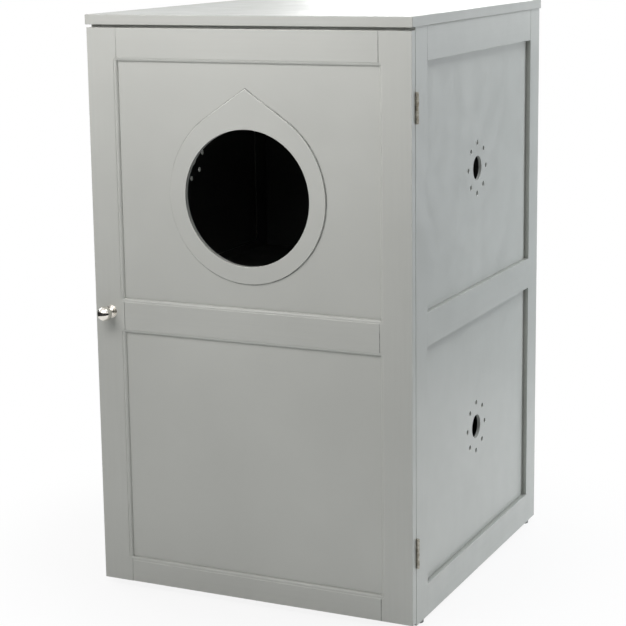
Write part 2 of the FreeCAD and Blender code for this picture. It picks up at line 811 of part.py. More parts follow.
def add_glides(pieces):
    """A nail-in glide under each end of both sides."""
    radius = glide_diameter / 2
    nail_radius = glide_nail_diameter / 2
    ease = glide_edge_round
    foot = turned(((0, 0), (0, radius - ease), (ease, radius), (glide_height, radius), (glide_height, 0)))
    nail_start = glide_height - glide_nail_seat

    def nail(play):
        end = nail_start + glide_nail_length
        return turned(
            (
                (nail_start - play, 0),
                (nail_start - play, nail_radius + play),
                (end - glide_nail_diameter, nail_radius + play),
                (end + play, 0),
            )
        )

    x = side_outer_x - frame_thick / 2
    glides = []
    nails = []
    for stile, y in (
        ("front_stile", carcass_front_y + glide_edge_distance),
        ("rear_stile", carcass_back_y - glide_edge_distance),
    ):
        for side_name, place in (("right", vec(x, y, 0)), ("left", vec(-x, y, 0))):
            hole = placed(nail(fit_play), place, Z, X)
            glides.append(placed(foot, place, Z, X).cut(hole))
            nails.append(placed(nail(0), place, Z, X))
            pieces[f"{side_name}_{stile}"] = pieces[f"{side_name}_{stile}"].cut(hole)
    pieces["glides"] = Part.makeCompound(glides)
    pieces["glide_nails"] = Part.makeCompound(nails)


def build():
    """Every piece of the cabinet, by name."""
    right_side = side_frame()
    boards = carcass_boards()
    fittings = fit_joints(right_side, boards)

    cleat_places = cleat_screw_places()
    cleat_holes = [placed(cleat_screw(fit_play), place, X, Z) for place in cleat_places]
    cleat_screws = [placed(cleat_screw(), place, X, Z) for place in cleat_places]
    right_side["shelf_cleat"] = shelf_cleat().cut(cleat_holes)
    right_side["mid_rail"] = right_side["mid_rail"].cut(cleat_holes)

    pieces = dict(boards)
    for name, piece in right_side.items():
        pieces[f"right_{name}"] = piece
        pieces[f"left_{name}"] = mirrored(piece)
    for name, solids in fittings.items():
        pieces[name] = Part.makeCompound(solids)
    pieces["cleat_screws"] = Part.makeCompound(cleat_screws + [mirrored(screw) for screw in cleat_screws])

    back_places = back_screw_places()
    back_holes = [placed(back_screw(fit_play), place, -Y, Z) for place in back_places]
    for name in (
        "back_panel", "right_rear_stile", "left_rear_stile", "floor_board", "middle_shelf", "rear_top_rail"
    ):
        pieces[name] = pieces[name].cut(back_holes)
    pieces["back_screws"] = Part.makeCompound([placed(back_screw(), place, -Y, Z) for place in back_places])

    for name, piece in door_frame().items():
        pieces[f"door_{name}"] = piece
    pieces["knob"] = knob()
    pieces["knob_screw"] = knob_screw()
    pieces["door_latch_stile"] = pieces["door_latch_stile"].cut(knob_screw(hole_play))
    add_hinges(pieces)
    add_catch(pieces)
    add_glides(pieces)
    return pieces


os.makedirs("parts", exist_ok=True)
for piece_name, piece_shape in build().items():
    piece_shape.exportStep(os.path.join("parts", f"{piece_name}.step"))
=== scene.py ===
import math

import bmesh
import bpy
from mathutils import Matrix, Vector


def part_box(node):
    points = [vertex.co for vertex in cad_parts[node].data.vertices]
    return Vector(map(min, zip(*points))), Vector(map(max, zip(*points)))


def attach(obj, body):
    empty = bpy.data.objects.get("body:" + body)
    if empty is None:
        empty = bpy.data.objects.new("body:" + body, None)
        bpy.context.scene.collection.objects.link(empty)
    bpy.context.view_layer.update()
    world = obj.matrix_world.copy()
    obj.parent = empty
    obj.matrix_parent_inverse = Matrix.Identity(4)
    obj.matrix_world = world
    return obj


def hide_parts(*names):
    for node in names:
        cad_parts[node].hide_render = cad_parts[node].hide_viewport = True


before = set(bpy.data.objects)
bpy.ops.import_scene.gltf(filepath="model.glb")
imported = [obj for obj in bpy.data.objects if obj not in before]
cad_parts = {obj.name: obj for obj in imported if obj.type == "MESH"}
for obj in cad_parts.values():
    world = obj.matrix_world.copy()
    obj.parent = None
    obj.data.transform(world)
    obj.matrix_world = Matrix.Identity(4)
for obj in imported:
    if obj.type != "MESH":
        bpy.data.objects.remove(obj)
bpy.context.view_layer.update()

# Camera
# It stands 2.3 m in front of the door and well to its right, a little higher than the top, and looks
# slightly down through a long lens. The cabinet's own edges in the photo gave its place.

camera_place = Vector((1.18999, -2.59274, 1.02231))
camera_turn = math.radians(26.02)
camera_height_angle = math.radians(10.94)
camera_roll = math.radians(-0.94)
camera_back = Vector(
    (
        math.sin(camera_turn) * math.cos(camera_height_angle),
        -math.cos(camera_turn) * math.cos(camera_height_angle),
        math.sin(camera_height_angle),
    )
)
level_right = (-camera_back).cross(Vector((0, 0, 1))).normalized()
level_up = level_right.cross(-camera_back)
camera_right = level_right * math.cos(camera_roll) + level_up * math.sin(camera_roll)
camera_up = level_up * math.cos(camera_roll) - level_right * math.sin(camera_roll)

camera = bpy.data.objects.new("camera", bpy.data.cameras.new("camera"))
bpy.context.scene.collection.objects.link(camera)
bpy.context.scene.camera = camera
camera_turned = Matrix((camera_right, camera_up, camera_back)).transposed().to_4x4()
camera.matrix_world = Matrix.Translation(camera_place) @ camera_turned
camera.data.sensor_width = 36
camera.data.lens = 103.15
camera.data.shift_x = 0.0508
camera.data.shift_y = -0.0607
camera.data.clip_start = 0.05
camera.data.clip_end = 60
camera.data.dof.use_dof = False

# Side frames
# Each side is five boards round two thin sheets: front and rear stiles, and three rails between them with
# stub tongues in the stiles' grooves. The boards' corners are eased by hand, then all of it gets two coats
# of satin lacquer, through which the boards' grain still shows very faintly.

grey = Vector((0.468, 0.479, 0.447))
# Eased corners a touch paler: partly wear, partly a painted highlight.
worn_highlight_grey = grey * 1.16
# Joints far darker: painted shade where the boards meet.
joint_shade_grey = grey * 0.2
grained_grey = grey * 0.93
side_corner = 0.001
same_place = 1e-6
sharp_bend = math.radians(50)
inward_from = {"left": (1, 0, 0), "right": (-1, 0, 0)}


def new_finish(name):
    """A material, and its shader."""
    finish = bpy.data.materials.new(name)
    finish.use_nodes = True
    return finish, finish.node_tree.nodes["Principled BSDF"]


def on_piece(finish, stretch=(1, 1, 1)):
    """The place on the piece in metres, with each direction multiplied as the pattern needs."""
    place = finish.node_tree.nodes.new("ShaderNodeTexCoord")
    mapping = finish.node_tree.nodes.new("ShaderNodeMapping")
    mapping.inputs["Scale"].default_value = stretch
    finish.node_tree.links.new(place.outputs["Object"], mapping.inputs["Vector"])
    return mapping.outputs["Vector"]


def mottle(finish, where, per_metre, detail=2.0):
    """A cloudy pattern, nearly all of it between 0 and 1."""
    noise = finish.node_tree.nodes.new("ShaderNodeTexNoise")
    noise.inputs["Scale"].default_value = per_metre
    noise.inputs["Detail"].default_value = detail
    finish.node_tree.links.new(where, noise.inputs["Vector"])
    spread = finish.node_tree.nodes.new("ShaderNodeMapRange")
    spread.inputs["From Min"].default_value = 0.3
    spread.inputs["From Max"].default_value = 0.7
    spread.clamp = False
    finish.node_tree.links.new(noise.outputs["Fac"], spread.inputs["Value"])
    return spread.outputs["Result"]


def between(finish, amount, low, high):
    """A value that goes from low to high as the amount goes from 0 to 1."""
    spread = finish.node_tree.nodes.new("ShaderNodeMapRange")
    spread.inputs["To Min"].default_value = low
    spread.inputs["To Max"].default_value = high
    finish.node_tree.links.new(amount, spread.inputs["Value"])
    return spread.outputs["Result"]


def blended(finish, amount, first, second):
    """The first colour where the amount is 0 and the second where it is 1."""
    mix = finish.node_tree.nodes.new("ShaderNodeMix")
    mix.data_type = "RGBA"
    finish.node_tree.links.new(amount, mix.inputs["Factor"])
    for socket, colour in ((mix.inputs[6], first), (mix.inputs[7], second)):
        if isinstance(colour, bpy.types.NodeSocket):
            finish.node_tree.links.new(colour, socket)
        else:
            socket.default_value = (*colour, 1)
    return mix.outputs[2]


def product(finish, first, second):
    """Two amounts multiplied."""
    multiply = finish.node_tree.nodes.new("ShaderNodeMath")
    multiply.operation = "MULTIPLY"
    finish.node_tree.links.new(first, multiply.inputs[0])
    finish.node_tree.links.new(second, multiply.inputs[1])
    return multiply.outputs["Value"]


def raised(finish, shader, *layers):
    """Relief in the surface. Each layer is a pattern and how high its crests stand, in metres."""
    normal = None
    for pattern, crest in layers:
        bump = finish.node_tree.nodes.new("ShaderNodeBump")
        bump.inputs["Strength"].default_value = 1
        bump.inputs["Distance"].default_value = crest
        finish.node_tree.links.new(pattern, bump.inputs["Height"])
        if normal is not None:
            finish.node_tree.links.new(normal, bump.inputs["Normal"])
        normal = bump.outputs["Normal"]
    finish.node_tree.links.new(normal, shader.inputs["Normal"])


def marked(finish, mark):
    """How strongly the piece's faces carry a mark, from 0 to 1."""
    reader = finish.node_tree.nodes.new("ShaderNodeAttribute")
    reader.attribute_name = mark
    return reader.outputs["Fac"]


def wood_grain(finish, along):
    """The grain of a board: fine across it and long drawn out along it."""
    per_metre_across = 240
    per_metre_along = 7
    stretch = [per_metre_across - (per_metre_across - per_metre_along) * abs(part) for part in along]
    return mottle(finish, on_piece(finish, stretch), 1, detail=4)


def inside_shade_colour(finish, where):
    """The dark colour on faces that look into the cabinet: a painted shade of the closed cabinet, mottled.
    """
    return blended(finish, mottle(finish, where, 12, detail=3), grey * 0.2, grey * 0.26)


def lacquer(name, along=None, painted_shade=1.0):
    """Grey satin lacquer: sprayed, so slightly stippled. Its eased corners are a touch paler, partly wear
    and partly a painted highlight, and its joints darker, a painted shade. Faces that look into the cabinet
    are dark, a painted shade of the closed cabinet. A painted shade below 1 darkens the whole lacquer."""
    finish, shader = new_finish(name)
    link = finish.node_tree.links.new
    where = on_piece(finish)
    body = blended(finish, mottle(finish, where, 5, detail=3), grey * 0.965 * painted_shade, grey * 1.03 * painted_shade)
    stipple = mottle(finish, where, 620, detail=1)
    layers = [(stipple, 0.000012), (mottle(finish, where, 45), 0.00006)]
    if along:
        grain = wood_grain(finish, along)
        body = blended(finish, between(finish, grain, 0.0, 0.35), body, grained_grey)
        layers.append((grain, 0.00003))
    patches = between(finish, mottle(finish, where, 60, detail=3), 0.35, 1.0)
    # Paler corners: partly wear, partly a painted highlight. Darker joints: painted shade.
    for mark, colour in (("worn_highlight", worn_highlight_grey), ("joint_shade", joint_shade_grey)):
        body = blended(finish, product(finish, marked(finish, mark), patches), body, colour)
    # Faces inside the cabinet take the dark colour: painted shade of the closed cabinet.
    body = blended(finish, marked(finish, "inside_shade"), body, inside_shade_colour(finish, where))
    link(body, shader.inputs["Base Color"])
    sheen = between(finish, mottle(finish, where, 24, detail=4), 0.34, 0.46)
    link(sheen, shader.inputs["Roughness"])
    raised(finish, shader, *layers)
    return finish


upright_lacquer = lacquer("upright_lacquer", along=(0, 0, 1))
side_rail_lacquer = lacquer("side_rail_lacquer", along=(0, 1, 0))
sheet_lacquer = lacquer("sheet_lacquer")


def eased(node, body, slot, finish, ease, across=None, ends=None, inward=None):
    """A copy of a CAD piece with its sharp corners eased: those round the two faces that lie across a
    direction, or all of them. The eased corners are marked for a paler colour, partly wear and partly a
    painted highlight; where its ends butt on another board, their corners are joints, marked for painted
    shade. Its faces that look inward are the cabinet's inside, marked for the painted shade inside. The
    copy then stands for the node."""
    flush = 1e-5
    piece = bmesh.new()
    piece.from_mesh(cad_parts[node].data)
    bmesh.ops.remove_doubles(piece, verts=piece.verts, dist=same_place)
    bmesh.ops.dissolve_limit(piece, angle_limit=math.radians(0.5), verts=piece.verts, edges=piece.edges)
    worn_highlight = piece.faces.layers.float.new("worn_highlight")
    joint_shade = piece.faces.layers.float.new("joint_shade")
    inside_shade = piece.faces.layers.float.new("inside_shade")
    corners = [edge for edge in piece.edges if edge.is_convex and edge.calc_face_angle(0) > sharp_bend]
    if across:
        across = Vector(across)
        reach = [corner.co.dot(across) for corner in piece.verts]
        outer = (min(reach), max(reach))

        def on_show(face):
            level = face.verts[0].co.dot(across)
            return abs(face.normal.dot(across)) > 0.999 and min(abs(level - end) for end in outer) < flush

        corners = [edge for edge in corners if any(on_show(face) for face in edge.link_faces)]
    made = bmesh.ops.bevel(
        piece, geom=corners, affect="EDGES", offset=ease, offset_type="OFFSET", segments=2, profile=0.5,
        clamp_overlap=True, material=-1
    )
    piece.normal_update()
    for face in made["faces"]:
        if ends and abs(face.normal.dot(Vector(ends))) > 0.3:
            face[joint_shade] = 1
        else:
            face[worn_highlight] = 1
    for face in piece.faces:
        face.smooth = True
        if inward and face.normal.dot(Vector(inward)) > 0.5:
            face[inside_shade] = 1
    mesh = bpy.data.meshes.new(node + "_finished")
    piece.to_mesh(mesh)
    piece.free()
    mesh.set_sharp_from_angle(angle=sharp_bend)
    return shown(mesh, body, slot, finish, node)


def shown(mesh, body, slot, finish, *replaced):
    """The finished piece in the scene, riding on its body and standing for the CAD nodes named."""
    mesh.materials.clear()
    mesh.materials.append(finish)
    piece = bpy.data.objects.new(mesh.name, mesh)
    bpy.context.scene.collection.objects.link(piece)
    flats = piece.modifiers.new("flats_stay_flat", "WEIGHTED_NORMAL")
    flats.keep_sharp = True
    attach(piece, body)
    if replaced:
        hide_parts(*replaced)
    return piece


# Their inward faces are marked for the painted shade inside the cabinet.
for side, inward in inward_from.items():
    for board in ("front_stile", "rear_stile"):
        eased(
            f"{side}_{board}", "cabinet", "painted_board", upright_lacquer, side_corner, across=(1, 0, 0),
            inward=inward
        )
    for board in ("bottom_rail", "mid_rail", "top_rail"):
        eased(
            f"{side}_{board}", "cabinet", "painted_board", side_rail_lacquer, side_corner, across=(1, 0, 0),
            ends=(0, 1, 0), inward=inward
        )

# Side panels and their vents
# Thin sheets in the side frames' grooves, each with one large hole and a ring of small ones that air the
# litter box. They are drilled before painting, so paint rounds the rims a little.

drilled_rim = 0.0004

for side, inward in inward_from.items():
    for panel in ("lower_panel", "upper_panel"):
        eased(
            f"{side}_{panel}", "cabinet", "painted_board", sheet_lacquer, drilled_rim, across=(1, 0, 0),
            inward=inward
        )

# Boards inside
# The floor board and the two top rails join the sides with cam fittings and dowels. The shelf, which the
# cat climbs through, rests on two screwed cleats. They are coloured dark, a painted shade of the closed
# cabinet, and only the front rail, which shows over the door, is lacquered, its rear face dark the same
# way.

inside_corner = 0.0006


def inside_shade_board(name, along):
    finish, shader = new_finish(name)
    link = finish.node_tree.links.new
    where = on_piece(finish)
    grain = wood_grain(finish, along)
    # The dark colour is painted shade of the closed cabinet, with the grain showing in it.
    colour = blended(finish, between(finish, grain, 0.0, 0.4), inside_shade_colour(finish, where), grey * 0.15)
    link(colour, shader.inputs["Base Color"])
    link(between(finish, mottle(finish, where, 30, detail=3), 0.5, 0.64), shader.inputs["Roughness"])
    raised(finish, shader, (grain, 0.00004))
    return finish


inside_shade_across = inside_shade_board("inside_shade_across", (1, 0, 0))
inside_shade_along = inside_shade_board("inside_shade_along", (0, 1, 0))

for board, across in (
    ("floor_board", (0, 0, 1)), ("middle_shelf", (0, 0, 1)), ("rear_top_rail", (0, 1, 0))
):
    eased(board, "cabinet", "painted_board", inside_shade_across, inside_corner, across=across)
for side in ("left", "right"):
    eased(f"{side}_shelf_cleat", "cabinet", "painted_board", inside_shade_along, inside_corner, across=(1, 0, 0))

front_rail_lacquer = lacquer("front_rail_lacquer", along=(1, 0, 0))
eased(
    "front_top_rail", "cabinet", "painted_board", front_rail_lacquer, inside_corner, across=(0, 1, 0),
    ends=(1, 0, 0), inward=(0, 1, 0)
)

# Back panel
# A thin hardboard sheet screwed into the rebates behind. Its paint is one flatter coat, in which the
# board's fine fibres show, and its inner face is dark, a painted shade of the closed cabinet.


def hardboard_paint():
    finish, shader = new_finish("hardboard_paint")
    link = finish.node_tree.links.new
    where = on_piece(finish)
    fibres = mottle(finish, on_piece(finish, (900, 300, 420)), 1, detail=3)
    body = blended(finish, mottle(finish, where, 8, detail=3), grey * 0.90, grey * 0.98)
    painted = blended(finish, between(finish, fibres, 0.0, 0.3), body, grey * 0.8)
    # The inner face's dark colour is painted shade of the closed cabinet, with the fibres in it.
    shaded_inside_face = blended(finish, fibres, grey * 0.17, grey * 0.24)
    link(blended(finish, marked(finish, "inside_shade"), painted, shaded_inside_face), shader.inputs["Base Color"])
    link(between(finish, mottle(finish, where, 30), 0.55, 0.7), shader.inputs["Roughness"])
    raised(finish, shader, (fibres, 0.00003))
    return finish


eased(
    "back_panel", "cabinet", "back_board", hardboard_paint(), drilled_rim, across=(0, 1, 0),
    inward=(0, -1, 0)
)

# Top
# One board that overlaps the sides and hides their upper ends, held from below by cam fittings. Its
# corners are eased a little less than the sides', and its lacquer is a painted shade darker all over, as it
# looks in the photo.

top_corner = 0.0006
top_lacquer = lacquer("top_lacquer", painted_shade=0.94)
eased("top_panel", "cabinet", "painted_board", top_lacquer, top_corner, across=(0, 0, 1))

# Door frame
# Two stiles and three rails, glued up first and then run past a router, which cut the quirk and quarter
# round along both openings and left the moulding's corners round. The joints show as hairlines.

door_rail_lacquer = lacquer("door_rail_lacquer", along=(1, 0, 0))
door_corner = 0.0009

for board in ("door_latch_stile", "door_hinge_stile"):
    eased(board, "door", "painted_board", upright_lacquer, door_corner, across=(0, 1, 0))
for board in ("door_bottom_rail", "door_mid_rail", "door_top_rail"):
    eased(board, "door", "painted_board", door_rail_lacquer, door_corner, across=(0, 1, 0), ends=(1, 0, 0))

# Door panels and the entrance
# Two thin sheets in the door frame's grooves. The upper one has the round entrance, and a surround of thin
# sheet with a pointed top is glued over it, its edges rounded.

for panel in ("door_lower_panel", "door_upper_panel"):
    eased(panel, "door", "painted_board", sheet_lacquer, drilled_rim, across=(0, 1, 0))



def on_the_round(face):
    """Whether the face is part of the rounded edge, between the flat front and the straight sides."""
    return 0.05 < -face.normal.y < 0.98


surround = bmesh.new()
surround.from_mesh(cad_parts["door_surround"].data)
bmesh.ops.remove_doubles(surround, verts=surround.verts, dist=same_place)
surround.normal_update()
worn_highlight = surround.faces.layers.float.new("worn_highlight")
# The rounded edge is marked paler: partly wear, partly a painted highlight.
for face in surround.faces:
    face.smooth = True
    if on_the_round(face):
        face[worn_highlight] = 1
surround_mesh = bpy.data.meshes.new("entrance_surround")
surround.to_mesh(surround_mesh)
surround_mesh.set_sharp_from_angle(angle=sharp_bend)
shown(surround_mesh, "door", "painted_board", sheet_lacquer, "door_surround")

# Paint along the surround
# The lacquer has run into the corner between the surround and the panel, and stands there as a fine
# fillet. It is coloured darker than the rest, a painted shade in the corner. It is drawn from the
# surround's own foot, so it fits round it.

paint_width = 0.0015
paint_height = 0.0004
# How far the fillet's colour goes towards the painted joint shade.
paint_shade = 0.8
surround_low, surround_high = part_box("door_surround")
surround_radius = (surround_high.x - surround_low.x) / 2
surround_centre = Vector(((surround_low.x + surround_high.x) / 2, 0, surround_low.z + surround_radius))
least_radius = 0.9 * surround_radius
panel_level = max(corner.co.y for corner in surround.verts)


def round_the_foot(edge):
    """Whether the edge runs round the outside of the surround, where it lies on the panel."""
    middle = (edge.verts[0].co + edge.verts[1].co) / 2 - surround_centre
    on_panel = all(abs(corner.co.y - panel_level) < same_place for corner in edge.verts)
    return on_panel and edge.is_boundary and math.hypot(middle.x, middle.z) > least_radius


def away(corner):
    """Straight out from the surround along the panel, at a corner of its foot."""
    sum_of_both = Vector((0, 0, 0))
    for edge in corner.link_edges:
        across = (edge.verts[1].co - edge.verts[0].co).cross(Vector((0, 1, 0))).normalized()
        middle = (edge.verts[0].co + edge.verts[1].co) / 2 - surround_centre
        sum_of_both += across if across.dot(middle) > 0 else -across
    return sum_of_both.normalized()


def drawn_on(fillet, ring):
    """A second ring of the fillet's edges that starts where the ring is, joined to it by faces."""
    made = bmesh.ops.extrude_edge_only(fillet, edges=ring)["geom"]
    corners = {part for part in made if isinstance(part, bmesh.types.BMVert)}
    edges = [part for part in made if isinstance(part, bmesh.types.BMEdge) and set(part.verts) <= corners]
    return corners, edges


paint = surround.copy()
surround.free()
above_panel = [face for face in paint.faces if abs(face.calc_center_median().y - panel_level) > same_place]
bmesh.ops.delete(paint, geom=above_panel, context="FACES")
on_panel = [edge for edge in paint.edges if round_the_foot(edge)]
bmesh.ops.delete(paint, geom=paint.faces[:], context="FACES_ONLY")
bmesh.ops.delete(paint, geom=[edge for edge in paint.edges if edge not in on_panel], context="EDGES")
bmesh.ops.delete(paint, geom=[corner for corner in paint.verts if not corner.link_edges], context="VERTS")
directions = {tuple(corner.co): away(corner) for corner in paint.verts}
wall_corners, on_wall = drawn_on(paint, on_panel)
outer_corners, outer = drawn_on(paint, on_wall)
for corner in outer_corners:
    corner.co += directions[tuple(corner.co)] * paint_width
for corner in wall_corners:
    corner.co.y -= paint_height
bmesh.ops.bridge_loops(paint, edges=on_panel + outer)
bmesh.ops.recalc_face_normals(paint, faces=paint.faces)
joint_shade = paint.faces.layers.float.new("joint_shade")
for face in paint.faces:
    face.smooth = True
    face[joint_shade] = paint_shade
paint_mesh = bpy.data.meshes.new("paint_round_surround")
paint.to_mesh(paint_mesh)
paint.free()
paint_mesh.set_sharp_from_angle(angle=sharp_bend)
shown(paint_mesh, "door", "painted_board", sheet_lacquer)

# Knob
# A ball knob turned from brass, with a beaded rose, nickel-plated and polished. A machine screw from behind
# the door holds it.

knob_low, knob_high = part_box("knob")
knob_radius = 0.01125
knob_length = 0.031
ball_centre = knob_length - knob_radius
tip_to_neck = 156.4
neck_radius = 0.0045
neck_foot = 0.0074
bead_ring_radius = 0.0078
bead_middle = 0.0027
bead_radius = 0.0012
step_height = 0.0015
step_radius = 0.0090
rim_centre = (0.0007, 0.0092)
rose_radius = 0.0099
bore_radius = 0.00205
bore_depth = 0.0092
knob_axis = Vector(((knob_low.x + knob_high.x) / 2, knob_high.y, (knob_low.z + knob_high.z) / 2))


def straight_to(outline, end, point):
    """Draws the outline on in a straight line, and gives its new end."""
    drawn = bmesh.ops.extrude_vert_indiv(outline, verts=[end])["verts"][0]
    drawn.co = Vector((*point, 0))
    return drawn


def bent_round(outline, end, centre, degrees, steps):
    """Draws the outline on in an arc about a centre, and gives its new end."""
    made = bmesh.ops.spin(
        outline, geom=[end], cent=(*centre, 0), axis=(0, 0, 1), angle=math.radians(degrees), steps=steps
    )
    return [part for part in made["geom_last"] if isinstance(part, bmesh.types.BMVert)][0]


def turned(outline, name, place, steps):
    """The outline spun about the local X axis, which then points straight out of the door."""
    bmesh.ops.spin(
        outline, geom=outline.verts[:] + outline.edges[:], cent=(0, 0, 0), axis=(1, 0, 0),
        angle=math.radians(360), steps=steps, use_merge=True
    )
    bmesh.ops.remove_doubles(outline, verts=outline.verts, dist=1e-7)
    bmesh.ops.recalc_face_normals(outline, faces=outline.faces)
    out_of_door = Matrix.Rotation(math.radians(-90), 4, "Z")
    bmesh.ops.transform(outline, matrix=Matrix.Translation(place) @ out_of_door, verts=outline.verts)
    for face in outline.faces:
        face.smooth = True
    mesh = bpy.data.meshes.new(name)
    outline.to_mesh(mesh)
    outline.free()
    mesh.set_sharp_from_angle(angle=math.radians(40))
    return mesh


def polished_nickel():
    finish, shader = new_finish("polished_nickel")
    link = finish.node_tree.links.new
    where = on_piece(finish)
    haze = mottle(finish, where, 160, detail=4)
    link(blended(finish, haze, (0.72, 0.69, 0.63), (0.80, 0.77, 0.71)), shader.inputs["Base Color"])
    shader.inputs["Metallic"].default_value = 1
    link(between(finish, haze, 0.07, 0.16), shader.inputs["Roughness"])
    rubbing = mottle(finish, on_piece(finish, (900, 5200, 900)), 1, detail=2)
    raised(finish, shader, (rubbing, 0.0000012))
    return finish


outline = bmesh.new()
tip = outline.verts.new((knob_length, 0, 0))
neck = bent_round(outline, tip, (ball_centre, 0), tip_to_neck, 44)
cove = straight_to(outline, neck, (neck_foot, neck_radius))
foot = bent_round(outline, cove, (neck_foot, bead_ring_radius), -90, 10)
bead = straight_to(outline, foot, (bead_middle + bead_radius, bead_ring_radius))
bead = bent_round(outline, bead, (bead_middle, bead_ring_radius), 180, 12)
step = straight_to(outline, bead, (step_height, step_radius))
rim = bent_round(outline, step, rim_centre, 105, 8)
edge = straight_to(outline, rim, (0, rose_radius))
edge = straight_to(outline, edge, (0, bore_radius))
edge = straight_to(outline, edge, (bore_depth, bore_radius))
edge = straight_to(outline, edge, (bore_depth, 0))
knob_mesh = turned(outline, "ball_knob", knob_axis, 96)
nickel = polished_nickel()
shown(knob_mesh, "door", "knob_nickel", nickel, "knob")
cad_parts["knob_screw"].material_slots[0].material = nickel

# Hinges
# Two steel butt hinges at the right front corner. The leaves are let into the door's back and the side's
# front edge, and their knuckles are rolled round a loose pin and plated in dull nickel.

stamped_edge = 0.00012


def dull_plating():
    finish, shader = new_finish("dull_plating")
    link = finish.node_tree.links.new
    where = on_piece(finish)
    tarnish = mottle(finish, where, 210, detail=5)
    link(blended(finish, tarnish, (0.30, 0.27, 0.21), (0.62, 0.60, 0.54)), shader.inputs["Base Color"])
    shader.inputs["Metallic"].default_value = 1
    link(between(finish, tarnish, 0.62, 0.46), shader.inputs["Roughness"])
    drawn = mottle(finish, on_piece(finish, (2600, 2600, 120)), 1, detail=2)
    raised(finish, shader, (drawn, 0.000004))
    return finish


hinge_plating = dull_plating()

for hinge in ("upper_hinge", "lower_hinge"):
    eased(f"{hinge}_door_leaf", "door", "hinge_metal", hinge_plating, stamped_edge)
    eased(f"{hinge}_side_leaf", "cabinet", "hinge_metal", hinge_plating, stamped_edge)
    eased(f"{hinge}_pin", "cabinet", "hinge_metal", hinge_plating, stamped_edge)

# Screws, strike plate and glide nails
# Small zinc-plated steel fasteners for hinges, catch, cleats, back and glides.


def zinc_plating():
    finish, shader = new_finish("zinc_plating")
    link = finish.node_tree.links.new
    where = on_piece(finish)
    crystals = mottle(finish, where, 700, detail=3)
    link(blended(finish, crystals, (0.50, 0.52, 0.54), (0.66, 0.68, 0.69)), shader.inputs["Base Color"])
    shader.inputs["Metallic"].default_value = 1
    link(between(finish, crystals, 0.28, 0.44), shader.inputs["Roughness"])
    raised(finish, shader, (crystals, 0.000003))
    return finish


zinc = zinc_plating()

for fastener in (
    "hinge_door_screws", "hinge_side_screws", "catch_screws", "strike_screw", "strike_plate",
    "cleat_screws", "back_screws", "glide_nails", "cam_bolts"
):
    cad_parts[fastener].material_slots[0].material = zinc

# Cam discs
# Die-cast zinc discs, let into the boards from inside. A turn with a screwdriver draws the bolts tight.


def cast_zinc():
    finish, shader = new_finish("cast_zinc")
    link = finish.node_tree.links.new
    where = on_piece(finish)
    skin = mottle(finish, where, 380, detail=4)
    link(blended(finish, skin, (0.34, 0.35, 0.36), (0.46, 0.47, 0.48)), shader.inputs["Base Color"])
    shader.inputs["Metallic"].default_value = 1
    link(between(finish, skin, 0.45, 0.62), shader.inputs["Roughness"])
    raised(finish, shader, (skin, 0.00002))
    return finish


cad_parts["cam_discs"].material_slots[0].material = cast_zinc()

# Dowels
# Beech dowels that place the boards while the cams pull them together.


def beech():
    finish, shader = new_finish("beech")
    link = finish.node_tree.links.new
    fibres = mottle(finish, on_piece(finish, (1500, 1500, 1500)), 1, detail=3)
    rays = mottle(finish, on_piece(finish, (160, 900, 900)), 1, detail=3)
    wood = blended(finish, fibres, (0.52, 0.35, 0.20), (0.62, 0.43, 0.26))
    rayed = blended(finish, between(finish, rays, 0, 0.5), wood, (0.42, 0.26, 0.14))
    link(rayed, shader.inputs["Base Color"])
    link(between(finish, fibres, 0.6, 0.75), shader.inputs["Roughness"])
    raised(finish, shader, (rays, 0.00004))
    return finish


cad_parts["carcass_dowels"].material_slots[0].material = beech()

# Magnetic catch
# A moulded plastic housing on the left front stile holds a ferrite magnet between two steel pole plates,
# which meet the strike plate on the door.


def moulded_plastic(name, dark, light, grain_height):
    finish, shader = new_finish(name)
    link = finish.node_tree.links.new
    where = on_piece(finish)
    grain = mottle(finish, where, 1500, detail=2)
    link(blended(finish, mottle(finish, where, 90, detail=3), dark, light), shader.inputs["Base Color"])
    link(between(finish, grain, 0.42, 0.56), shader.inputs["Roughness"])
    raised(finish, shader, (grain, grain_height))
    return finish


def ferrite():
    finish, shader = new_finish("ferrite")
    link = finish.node_tree.links.new
    grit = mottle(finish, on_piece(finish), 1900, detail=4)
    link(blended(finish, grit, (0.030, 0.030, 0.033), (0.075, 0.075, 0.080)), shader.inputs["Base Color"])
    link(between(finish, grit, 0.55, 0.8), shader.inputs["Roughness"])
    raised(finish, shader, (grit, 0.00003))
    return finish


moulded_corner = 0.0003
catch_plastic = moulded_plastic("catch_plastic_finish", (0.60, 0.60, 0.57), (0.68, 0.68, 0.65), 0.00001)
eased("catch_housing", "cabinet", "catch_plastic", catch_plastic, moulded_corner)
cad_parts["catch_magnet"].material_slots[0].material = ferrite()
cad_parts["catch_pole_plates"].material_slots[0].material = zinc

# Glides
# Nail-in plastic glides under the side frames, which keep the boards 6 mm off the floor.

glide_plastic = moulded_plastic("glide_plastic_finish", (0.22, 0.225, 0.22), (0.27, 0.275, 0.27), 0.00002)
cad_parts["glides"].material_slots[0].material = glide_plastic

# Floor and light
# A plain pale floor that fades to white, and white all round. Three soft lamps stand before the door, a
# high one and a close one light the right side and the top, and the left and the back have one each. The
# low dark screen is seen only in mirrors, and gives bright metal its dark band.

floor_reach = 9
fade_start = 0.3
fade_end = 0.7
least_white = 0.88
screen_radius = 1.25
screen_height = 0.76
screen_middle = 0.4


def background_rays(tree):
    """1 for the rays that show the background: seen, mirrored, or through something clear."""
    path = tree.nodes.new("ShaderNodeLightPath")
    either = path.outputs["Is Camera Ray"]
    for ray in ("Is Glossy Ray", "Is Transmission Ray"):
        larger = tree.nodes.new("ShaderNodeMath")
        larger.operation = "MAXIMUM"
        tree.links.new(either, larger.inputs[0])
        tree.links.new(path.outputs[ray], larger.inputs[1])
        either = larger.outputs["Value"]
    return either


